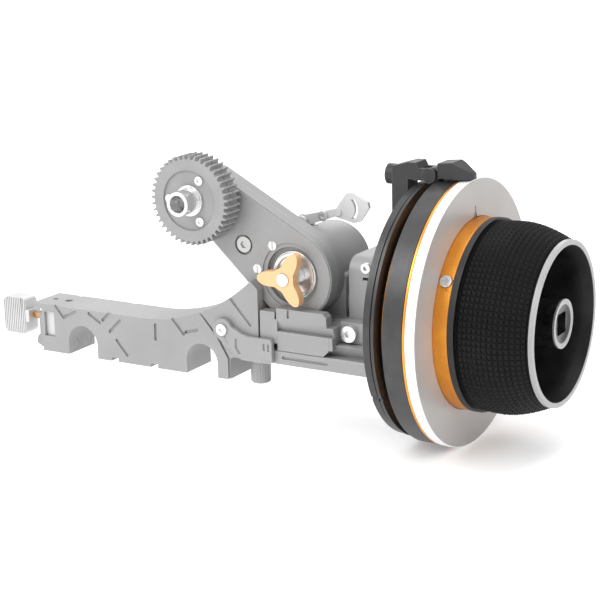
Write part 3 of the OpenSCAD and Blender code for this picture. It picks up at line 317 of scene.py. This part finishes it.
def blackenedSocket():
    m = Bench("socketBlackened")
    x, y, z = m.parts()
    smear = m.noise(m.coords, socketSet["smearScale"], 3, 0.5)
    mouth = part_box("crank_socket")[1].x
    isLip = m.math("MULTIPLY", m.math("GREATER_THAN", x, mouth - socketSet["lipDepth"]),
                   m.math("GREATER_THAN", m.wheelRadius(), socketSet["lipRadius"]))
    base = m.tint(isLip, rgb(*socketSet["dark"]), rgb(*socketSet["lip"]))
    base = m.tint(m.spread(smear, 0, socketSet["smearAmount"]), base, rgb(*socketSet["smear"]))
    m.join(base, m.shader.inputs["Base Color"])
    m.shader.inputs["Metallic"].default_value = socketSet["metal"]
    m.join(m.spread(smear, socketSet["roughLow"], socketSet["roughHigh"]), m.shader.inputs["Roughness"])
    lap = m.noise(m.coords, steelSet["lapScale"], 3, 0.6)
    m.bump(lap, steelSet["lapBump"], steelSet["lapDepth"])
    return m.mat


# marking disc: satin face to write on, white rim
discSet = {"face": (0.40, 0.386, 0.377), "faceShade": (0.372, 0.358, 0.349), "rim": (0.88, 0.88, 0.88),
           "rimInset": 0.00035, "trackPitch": 0.00018, "track": (0.3, 0.29, 0.28), "trackAmount": 0.10,
           "sweeps": 3.0, "metal": 0.15, "roughLow": 0.32, "roughHigh": 0.44, "bump": 0.2}


def markingFace():
    m = Bench("markingDisc")
    x, y, z = m.parts()
    radius = m.wheelRadius()
    low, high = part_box("marking_disc")
    edge = (high.y - low.y) / 2 - discSet["rimInset"]
    track = m.add("ShaderNodeCombineXYZ")
    m.join(m.math("DIVIDE", radius, discSet["trackPitch"]), track.inputs[0])
    rings = m.noise(track.outputs[0], 1.0, 2, 0.5)
    angle = m.math("ARCTAN2", m.math("SUBTRACT", z, wheelAxis.z), m.math("SUBTRACT", y, wheelAxis.y))
    sweep = m.add("ShaderNodeCombineXYZ")
    m.join(m.math("MULTIPLY", m.math("SINE", angle), discSet["sweeps"]), sweep.inputs[0])
    m.join(m.math("MULTIPLY", m.math("COSINE", angle), discSet["sweeps"]), sweep.inputs[1])
    glow = m.noise(sweep.outputs[0], 1.0, 2, 0.5)
    face = m.tint(m.spread(glow, 0, 1), rgb(*discSet["faceShade"]), rgb(*discSet["face"]))
    face = m.tint(m.spread(rings, 0, discSet["trackAmount"]), face, rgb(*discSet["track"]))
    isRim = m.math("GREATER_THAN", radius, edge)
    m.join(m.tint(isRim, face, rgb(*discSet["rim"])), m.shader.inputs["Base Color"])
    m.shader.inputs["Metallic"].default_value = discSet["metal"]
    m.join(m.spread(rings, discSet["roughLow"], discSet["roughHigh"]), m.shader.inputs["Roughness"])
    m.bump(rings, discSet["bump"], turnSet["ringDepth"])
    return m.mat


# one finish for each of the record's material slots
finishes = {
    "body_silver": blasted("bodyAnodised", (0.318, 0.318, 0.318), 0.25, (0.60, 0.60, 0.60)),
    "arm_silver": blasted("armAnodised", (0.298, 0.298, 0.298), 0.25, (0.60, 0.60, 0.60)),
    "bright_steel": polished("brightSteel", (0.78, 0.78, 0.78), (0.62, 0.62, 0.62), 0.8, 0.16, 0.30),
    "gear_grey": moulded("gearMoulded", (0.305, 0.305, 0.305), (0.265, 0.265, 0.265), 0.42, 0.6, 0.8),
    "bronze": polished("bronzeScrew", (0.62, 0.36, 0.16), (0.50, 0.27, 0.11), 0.8, 0.25, 0.4),
    "knob_gold": blasted("armKnobAnodised", (0.86, 0.50, 0.26), 0.3, (1.0, 0.78, 0.52), 0.95),
    "wheel_black": turned("wheelDark", (0.066, 0.066, 0.067), (0.052, 0.052, 0.054), 0.6, 0.30, 0.46),
    "wheel_orange": turned("wheelOrange", (0.90, 0.36, 0.050), (0.80, 0.30, 0.040), 0.8, 0.26, 0.36, 0.35),
    "disc_white": markingFace(),
    "socket_dark": blackenedSocket(),
    # painted shade: the orange core sunk between the rings gets a dark brown, shaded copy of the wheel's
    # orange, standing for the shade in its recess
    "core_brown": turned("coreOrangePaintedShade", (0.20, 0.085, 0.018), (0.13, 0.055, 0.012), 0.5, 0.32, 0.46),
    "cam_silver": blasted("camSatin", (0.62, 0.62, 0.62), 0.45, (0.9, 0.9, 0.9)),
    "knob_black": knobBlack(),
    "rubber_black": moulded("gripRubber", (0.006, 0.006, 0.0065), (0.004, 0.004, 0.0045), 0.44, 0.62, 1.2,
                            0.05, (0.07, 0.07, 0.075), 0.16),
    "index_black": blasted("indexAnodised", (0.040, 0.040, 0.042), 0.4, (0.26, 0.26, 0.27)),
    "gear_steel": polished("gearSteel", (0.50, 0.50, 0.49), (0.40, 0.40, 0.39), 0.9, 0.22, 0.4),
}
slotOf = {row["node"]: row["material_slot"] for row in frame["record"]["subparts"]}
print("finishes made:", len(finishes))

# broken edges on the machined parts, in metres
edgeSet = {
    "usual": 0.00022, "weld": 0.000004, "splitAngle": 28, "bevelAngle": 32,
    "wide": {"bridge": 0.0004, "arm_front_shell": 0.00045, "arm_back_shell": 0.0004,
             "gearbox_housing": 0.0004, "spindle_housing": 0.0005, "rear_cap": 0.0004,
             "marking_disc": 0.0003, "wheel_drum": 0.0003, "knob_core": 0.0003, "tri_knob": 0.0005,
             "clamp_knob": 0.0003, "cam_lever": 0.00035, "lock_lever": 0.0003, "index_pointer": 0.0003},
    "fine": {"drive_gear": 0.00008, "gear_screws": 0.00012, "jaw_screws": 0.0001,
             "arm_slot_screws": 0.0001, "hub_set_screw": 0.00012, "stop_ring_b": 0.00015},
    "none": ("button_spring", "bevel_gear", "bevel_pinion", "input_gear", "idler_gear_a",
             "idler_gear_b", "output_shaft", "cross_shaft", "drive_shaft", "rubber_grip"),
}


def dressNode(name, piece):
    mesh = piece.data
    mesh.materials.clear()
    mesh.materials.append(finishes[slotOf[name]])
    mesh.polygons.foreach_set("use_smooth", [True] * len(mesh.polygons))
    if "custom_normal" in mesh.attributes:
        mesh.attributes.remove(mesh.attributes["custom_normal"])
    weld = piece.modifiers.new("weld", "WELD")
    weld.merge_threshold = edgeSet["weld"]
    if name in edgeSet["none"]:
        piece.modifiers.new("edges", "EDGE_SPLIT").split_angle = math.radians(edgeSet["splitAngle"])
        return
    bevel = piece.modifiers.new("brokenEdges", "BEVEL")
    bevel.width = edgeSet["wide"].get(name, edgeSet["fine"].get(name, edgeSet["usual"]))
    bevel.segments = 2
    bevel.limit_method = "ANGLE"
    bevel.angle_limit = math.radians(edgeSet["bevelAngle"])
    bevel.use_clamp_overlap = True
    bevel.harden_normals = True


for nodeName, nodePiece in nodes.items():
    dressNode(nodeName, nodePiece)
print("CAD nodes dressed")

# rubber sleeve: rows of small square pyramids round a barrel
gripSet = {
    "rows": 13, "around": 98, "height": 0.0008, "wall": 0.0012,
    "rootRadius": 0.0363, "fullRadius": 0.0368, "endRadius": 0.0316,
    "crown": 0.35, "power": 1.7, "lip": 0.0007, "lipDrop": 0.0001, "edgeDrop": 0.00025,
    "tipDrop": 0.00004, "tipFlat": 0.16, "skinGap": 0.0001, "skinSteps": 8,
}


def gripCurve(t):
    root, full, end = gripSet["rootRadius"], gripSet["fullRadius"], gripSet["endRadius"]
    if t < gripSet["crown"]:
        return root + (full - root) * math.sin(t / gripSet["crown"] * math.pi / 2)
    return full - (full - end) * ((t - gripSet["crown"]) / (1 - gripSet["crown"])) ** gripSet["power"]


def wheelPoint(x, radius, angle):
    return Vector((x, wheelAxis.y + radius * math.cos(angle), wheelAxis.z + radius * math.sin(angle)))


def linkMesh(name, mesh, slotName, body):
    piece = bpy.data.objects.new(name, mesh)
    scene.collection.objects.link(piece)
    mesh.materials.append(finishes[slotName])
    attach(piece, body)
    return piece


def makeGrip():
    rows, around = gripSet["rows"], gripSet["around"]
    start, end = gripLow.x, gripHigh.x
    lip = gripSet["lip"]
    skin = gripSet["wall"] - gripSet["skinGap"]
    build = bmesh.new()

    def ringAt(x, drop):
        t = (x - start) / (end - start)
        radius = gripCurve(min(max(t, 0), 1)) - drop
        return [build.verts.new(wheelPoint(x, radius, 2 * math.pi * i / around)) for i in range(around)]

    def bridge(a, b):
        for i in range(around):
            j = (i + 1) % around
            build.faces.new((a[i], a[j], b[j], b[i]))

    depth = gripSet["height"]
    flat = gripSet["tipFlat"]
    stations = [start + lip + (end - start - 2 * lip) * k / rows for k in range(rows + 1)]
    firstInner = ringAt(start, skin)
    lipStart = ringAt(start, gripSet["edgeDrop"])
    lipTop = ringAt(start + lip / 2, gripSet["lipDrop"])
    bridge(firstInner, lipStart)
    bridge(lipStart, lipTop)
    valleys = [ringAt(x, depth) for x in stations]
    bridge(lipTop, valleys[0])
    for k in range(rows):
        low, high = valleys[k], valleys[k + 1]
        middle = (stations[k] + stations[k + 1]) / 2
        t = (middle - start) / (end - start)
        for i in range(around):
            j = (i + 1) % around
            peak = 2 * math.pi * (i + 0.5) / around
            # a small flat on each tip
            tips = []
            for sx, sa in ((-1, -1), (-1, 1), (1, 1), (1, -1)):
                x = middle + sx * flat * (stations[1] - stations[0]) / 2
                a = peak + sa * flat * math.pi / around
                tips.append(build.verts.new(wheelPoint(x, gripCurve(t) - gripSet["tipDrop"], a)))
            build.faces.new(tips)
            build.faces.new((low[i], low[j], tips[1], tips[0]))
            build.faces.new((low[j], high[j], tips[2], tips[1]))
            build.faces.new((high[j], high[i], tips[3], tips[2]))
            build.faces.new((high[i], low[i], tips[0], tips[3]))
    lipLow = ringAt(end - lip / 2, gripSet["lipDrop"])
    lipEnd = ringAt(end, gripSet["edgeDrop"])
    lastInner = ringAt(end, skin)
    bridge(valleys[-1], lipLow)
    bridge(lipLow, lipEnd)
    bridge(lipEnd, lastInner)
    # inner skin against the knob's core
    steps = gripSet["skinSteps"]
    inner = [firstInner]
    for k in range(1, steps):
        inner.append(ringAt(start + (end - start) * k / steps, skin))
    inner.append(lastInner)
    for k in range(steps):
        bridge(inner[k + 1], inner[k])
    bmesh.ops.recalc_face_normals(build, faces=build.faces)
    mesh = bpy.data.meshes.new("gripPyramids")
    build.to_mesh(mesh)
    build.free()
    grip = linkMesh("gripPyramids", mesh, "rubber_black", "wheel")
    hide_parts("rubber_grip")


makeGrip()
print("rubber grip built")

# floor, sky and soft lights
floorSet = {
    "size": 60.0, "drop": 0.0006, "tone": (0.93, 0.93, 0.93), "glow": 0.24, "shade": 0.985,
    "grainScale": 700, "rough": 0.75, "shine": 0.15,
}
skySet = {"front": (1.0, 1.0, 1.0), "back": (0.55, 0.55, 0.56), "power": 0.95, "fadeAt": 0.7}
lightSet = {
    "aim": (0.02, 0.0, 0.03),
    "lamps": (      # name, place, size in metres, watts
        ("keyLight", (-0.55, -1.15, 1.25), 1.1, 15.0),
        ("sideLight", (1.35, -0.45, 0.75), 0.9, 6.0),
        ("topLight", (0.1, 0.35, 1.45), 1.3, 13.0),
        ("backLight", (-0.6, 1.2, 0.7), 0.9, 5.0),
    ),
}


def makeFloor():
    half = floorSet["size"] / 2
    z = cadBox[0][2] - floorSet["drop"]
    mesh = bpy.data.meshes.new("floor")
    corners = [(-half, -half, z), (half, -half, z), (half, half, z), (-half, half, z)]
    mesh.from_pydata(corners, [], [(0, 1, 2, 3)])
    floor = bpy.data.objects.new("floor", mesh)
    scene.collection.objects.link(floor)
    m = Bench("floorPaper")
    grain = m.noise(m.coords, floorSet["grainScale"], 3, 0.6)
    tone = floorSet["tone"]
    base = m.tint(m.spread(grain, 0, 1), rgb(*[c * floorSet["shade"] for c in tone]), rgb(*tone))
    m.join(base, m.shader.inputs["Base Color"])
    m.shader.inputs["Roughness"].default_value = floorSet["rough"]
    m.shader.inputs["Specular IOR Level"].default_value = floorSet["shine"]
    m.shader.inputs["Emission Color"].default_value = rgb(*tone)
    m.shader.inputs["Emission Strength"].default_value = floorSet["glow"]
    mesh.materials.append(m.mat)


# a little darker behind than in front, so that round metal has a soft roll-off
def makeSky():
    world = bpy.data.worlds.new("studioWorld")
    world.use_nodes = True
    tree = world.node_tree
    sky = tree.nodes["Background"]
    sky.inputs[1].default_value = skySet["power"]
    place = tree.nodes.new("ShaderNodeTexCoord")
    split = tree.nodes.new("ShaderNodeSeparateXYZ")
    fade = tree.nodes.new("ShaderNodeMapRange")
    mix = tree.nodes.new("ShaderNodeMix")
    mix.data_type = "RGBA"
    tree.links.new(place.outputs["Generated"], split.inputs[0])
    tree.links.new(split.outputs[1], fade.inputs["Value"])
    fade.inputs["From Min"].default_value = -skySet["fadeAt"]
    fade.inputs["From Max"].default_value = skySet["fadeAt"]
    tree.links.new(fade.outputs[0], mix.inputs[0])
    mix.inputs[6].default_value = rgb(*skySet["front"])
    mix.inputs[7].default_value = rgb(*skySet["back"])
    tree.links.new(mix.outputs[2], sky.inputs[0])
    scene.world = world


def makeLights():
    aim = Vector(lightSet["aim"])
    for name, place, size, power in lightSet["lamps"]:
        data = bpy.data.lights.new(name, "AREA")
        data.size = size
        data.energy = power
        light = bpy.data.objects.new(name, data)
        light.location = place
        light.rotation_euler = (aim - Vector(place)).to_track_quat("-Z", "Y").to_euler()
        scene.collection.objects.link(light)


makeFloor()
makeSky()
makeLights()
scene.view_settings.view_transform = "Standard"
print("studio ready")
